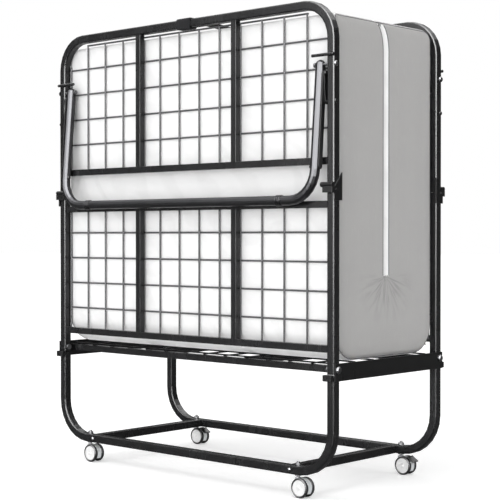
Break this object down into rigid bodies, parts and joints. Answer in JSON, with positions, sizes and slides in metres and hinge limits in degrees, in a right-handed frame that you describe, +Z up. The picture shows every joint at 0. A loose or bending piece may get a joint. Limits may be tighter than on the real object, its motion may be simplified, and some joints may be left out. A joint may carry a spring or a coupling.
{
  "type": "rollaway bed",
  "caption": "Folding guest bed on swivel casters, folded upright with its mattress inside; wire mesh panels open outwards, each with a swinging leg and braces.",
  "frame": {"origin": "on the floor under the middle of the base", "axes": "+Z up, -Y towards the front panel, +X towards the right as seen from the front"},
  "size_m": [0.9172, 0.46, 1.0759],
  "materials": {
    "black_tube": "satin powder coat",
    "black_plate": "satin powder coat",
    "black_wire": "satin powder coat",
    "leg_tube": "glossy powder coat",
    "zinc": "dark zinc plated",
    "wheel": "black tread, white disc",
    "hood": "pale gloss",
    "lever": "matt black",
    "ticking": "grey and white knitted cover",
    "webbing": "woven black band"
  },
  "bodies": {
    "base": {"front_base_loop": "black_tube", "rear_base_loop": "black_tube", "left_base_rail": "black_tube", "right_base_rail": "black_tube", "left_side_plate": "black_plate", "right_side_plate": "black_plate", "deck_frame": "black_tube", "deck_mesh": "black_wire", "mattress_fold": "ticking", "front_left_panel_bolt": "zinc", "front_left_caster_stem": "zinc", "front_right_panel_bolt": "zinc", "front_right_caster_stem": "zinc", "rear_left_panel_bolt": "zinc", "rear_left_caster_stem": "zinc", "rear_right_panel_bolt": "zinc", "rear_right_caster_stem": "zinc"},
    "front_panel": {"front_upper_frame": "black_tube", "front_lower_frame": "black_tube", "front_upper_mesh": "black_wire", "front_lower_mesh": "black_wire", "front_strap": "webbing", "front_mattress_half": "ticking", "front_left_middle_hinge": "black_plate", "front_left_leg_bolt": "zinc", "front_right_middle_hinge": "black_plate", "front_right_leg_bolt": "zinc"},
    "front_leg": {"front_leg": "leg_tube"},
    "front_left_upper_link": {"front_left_upper_link": "black_plate"},
    "front_left_lower_link": {"front_left_lower_link": "black_plate"},
    "front_left_caster": {"front_left_caster_housing": "hood"},
    "front_left_wheels": {"front_left_caster_wheels": "wheel"},
    "front_right_upper_link": {"front_right_upper_link": "black_plate"},
    "front_right_lower_link": {"front_right_lower_link": "black_plate"},
    "front_right_caster": {"front_right_caster_housing": "hood"},
    "front_right_wheels": {"front_right_caster_wheels": "wheel"},
    "rear_panel": {"rear_upper_frame": "black_tube", "rear_lower_frame": "black_tube", "rear_upper_mesh": "black_wire", "rear_lower_mesh": "black_wire", "rear_strap": "webbing", "rear_mattress_half": "ticking", "rear_left_middle_hinge": "black_plate", "rear_left_leg_bolt": "zinc", "rear_right_middle_hinge": "black_plate", "rear_right_leg_bolt": "zinc"},
    "rear_leg": {"rear_leg": "leg_tube"},
    "rear_left_upper_link": {"rear_left_upper_link": "black_plate"},
    "rear_left_lower_link": {"rear_left_lower_link": "black_plate"},
    "rear_left_caster": {"rear_left_caster_housing": "hood"},
    "rear_left_wheels": {"rear_left_caster_wheels": "wheel"},
    "rear_left_brake_lever": {"rear_left_brake_lever": "lever"},
    "rear_right_upper_link": {"rear_right_upper_link": "black_plate"},
    "rear_right_lower_link": {"rear_right_lower_link": "black_plate"},
    "rear_right_caster": {"rear_right_caster_housing": "hood"},
    "rear_right_wheels": {"rear_right_caster_wheels": "wheel"},
    "rear_right_brake_lever": {"rear_right_brake_lever": "lever"}
  },
  "joints": [
    {"name": "front_panel_fold", "type": "hinge", "parent": "base", "child": "front_panel", "pos_m": [0, -0.19, 0.283], "axis": [1, 0, 0], "range_deg": [0, 90]},
    {"name": "front_leg_swing", "type": "hinge", "parent": "front_panel", "child": "front_leg", "pos_m": [0, -0.195, 0.932], "axis": [-1, 0, 0], "range_deg": [0, 107.74]},
    {"name": "front_left_upper_link_turn", "type": "hinge", "parent": "front_panel", "child": "front_left_upper_link", "pos_m": [0, -0.195, 0.853], "axis": [-1, 0, 0], "range_deg": [-47.8, 0]},
    {"name": "front_left_lower_link_turn", "type": "hinge", "parent": "front_leg", "child": "front_left_lower_link", "pos_m": [0, -0.2131, 0.71475], "axis": [-1, 0, 0], "range_deg": [0, 17.6]},
    {"name": "front_right_upper_link_turn", "type": "hinge", "parent": "front_panel", "child": "front_right_upper_link", "pos_m": [0, -0.195, 0.853], "axis": [-1, 0, 0], "range_deg": [-47.8, 0]},
    {"name": "front_right_lower_link_turn", "type": "hinge", "parent": "front_leg", "child": "front_right_lower_link", "pos_m": [0, -0.2131, 0.71475], "axis": [-1, 0, 0], "range_deg": [0, 17.6]},
    {"name": "rear_panel_fold", "type": "hinge", "parent": "base", "child": "rear_panel", "pos_m": [0, 0.19, 0.283], "axis": [-1, 0, 0], "range_deg": [0, 90]},
    {"name": "rear_leg_swing", "type": "hinge", "parent": "rear_panel", "child": "rear_leg", "pos_m": [0, 0.195, 0.932], "axis": [1, 0, 0], "range_deg": [0, 107.74]},
    {"name": "rear_left_upper_link_turn", "type": "hinge", "parent": "rear_panel", "child": "rear_left_upper_link", "pos_m": [0, 0.195, 0.853], "axis": [1, 0, 0], "range_deg": [-47.8, 0]},
    {"name": "rear_left_lower_link_turn", "type": "hinge", "parent": "rear_leg", "child": "rear_left_lower_link", "pos_m": [0, 0.2131, 0.71475], "axis": [1, 0, 0], "range_deg": [0, 17.6]},
    {"name": "rear_right_upper_link_turn", "type": "hinge", "parent": "rear_panel", "child": "rear_right_upper_link", "pos_m": [0, 0.195, 0.853], "axis": [1, 0, 0], "range_deg": [-47.8, 0]},
    {"name": "rear_right_lower_link_turn", "type": "hinge", "parent": "rear_leg", "child": "rear_right_lower_link", "pos_m": [0, 0.2131, 0.71475], "axis": [1, 0, 0], "range_deg": [0, 17.6]},
    {"name": "front_left_caster_swivel", "type": "hinge", "parent": "base", "child": "front_left_caster", "pos_m": [-0.343, -0.19, 0.044], "axis": [0, 0, 1], "continuous": true},
    {"name": "front_left_wheel_roll", "type": "hinge", "parent": "front_left_caster", "child": "front_left_wheels", "pos_m": [-0.33, -0.19, 0.022], "axis": [0, 1, 0], "continuous": true},
    {"name": "front_right_caster_swivel", "type": "hinge", "parent": "base", "child": "front_right_caster", "pos_m": [0.343, -0.19, 0.044], "axis": [0, 0, 1], "continuous": true},
    {"name": "front_right_wheel_roll", "type": "hinge", "parent": "front_right_caster", "child": "front_right_wheels", "pos_m": [0.356, -0.19, 0.022], "axis": [0, 1, 0], "continuous": true},
    {"name": "rear_left_caster_swivel", "type": "hinge", "parent": "base", "child": "rear_left_caster", "pos_m": [-0.343, 0.19, 0.044], "axis": [0, 0, 1], "continuous": true},
    {"name": "rear_left_wheel_roll", "type": "hinge", "parent": "rear_left_caster", "child": "rear_left_wheels", "pos_m": [-0.33, 0.19, 0.022], "axis": [0, 1, 0], "continuous": true},
    {"name": "rear_left_brake_press", "type": "hinge", "parent": "rear_left_caster", "child": "rear_left_brake_lever", "pos_m": [-0.31691, 0.19, 0.04295], "axis": [0, 1, 0], "range_deg": [0, 12]},
    {"name": "rear_right_caster_swivel", "type": "hinge", "parent": "base", "child": "rear_right_caster", "pos_m": [0.343, 0.19, 0.044], "axis": [0, 0, 1], "continuous": true},
    {"name": "rear_right_wheel_roll", "type": "hinge", "parent": "rear_right_caster", "child": "rear_right_wheels", "pos_m": [0.356, 0.19, 0.022], "axis": [0, 1, 0], "continuous": true},
    {"name": "rear_right_brake_press", "type": "hinge", "parent": "rear_right_caster", "child": "rear_right_brake_lever", "pos_m": [0.36909, 0.19, 0.04295], "axis": [0, 1, 0], "range_deg": [0, 12]}
  ],
  "couplings": [
    {"joint": "front_left_upper_link_turn", "follows": "front_leg_swing", "ratio": -0.4392},
    {"joint": "front_left_lower_link_turn", "follows": "front_leg_swing", "ratio": 0.1585},
    {"joint": "front_right_upper_link_turn", "follows": "front_leg_swing", "ratio": -0.4392},
    {"joint": "front_right_lower_link_turn", "follows": "front_leg_swing", "ratio": 0.1585},
    {"joint": "rear_left_upper_link_turn", "follows": "rear_leg_swing", "ratio": -0.4392},
    {"joint": "rear_left_lower_link_turn", "follows": "rear_leg_swing", "ratio": 0.1585},
    {"joint": "rear_right_upper_link_turn", "follows": "rear_leg_swing", "ratio": -0.4392},
    {"joint": "rear_right_lower_link_turn", "follows": "rear_leg_swing", "ratio": 0.1585}
  ]
}
